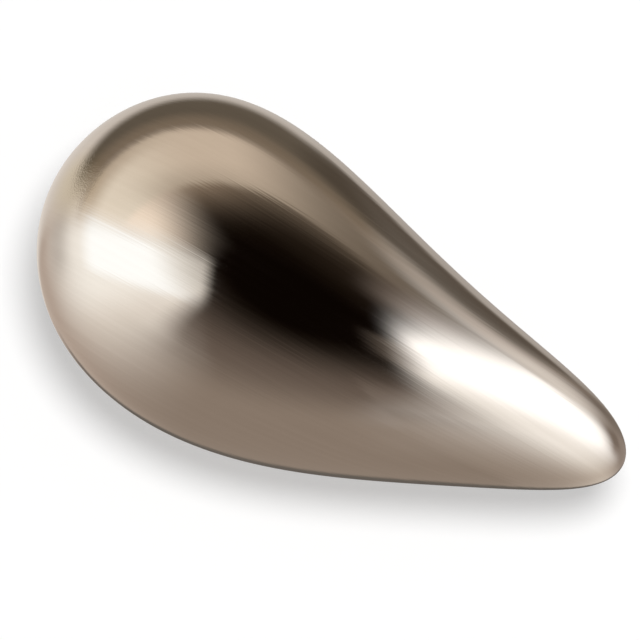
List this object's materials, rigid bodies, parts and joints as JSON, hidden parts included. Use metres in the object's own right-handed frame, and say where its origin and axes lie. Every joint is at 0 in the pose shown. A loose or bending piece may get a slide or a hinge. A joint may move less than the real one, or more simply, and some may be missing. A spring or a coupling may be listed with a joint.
{
  "type": "cabinet knob",
  "caption": "Cabinet knob with a half-egg head that tapers to a narrow rounded end, on a round post with a tapped screw hole.",
  "frame": {"origin": "centre of the screw hole on the mounting face, which lies on the cabinet front", "axes": "+Z out of the cabinet front, +X along the head towards its narrow end"},
  "size_m": [0.05, 0.0264, 0.025],
  "materials": {
    "satin_nickel": "brushed along the head"
  },
  "bodies": {
    "root": {"knob": "satin_nickel"}
  },
  "joints": []
}
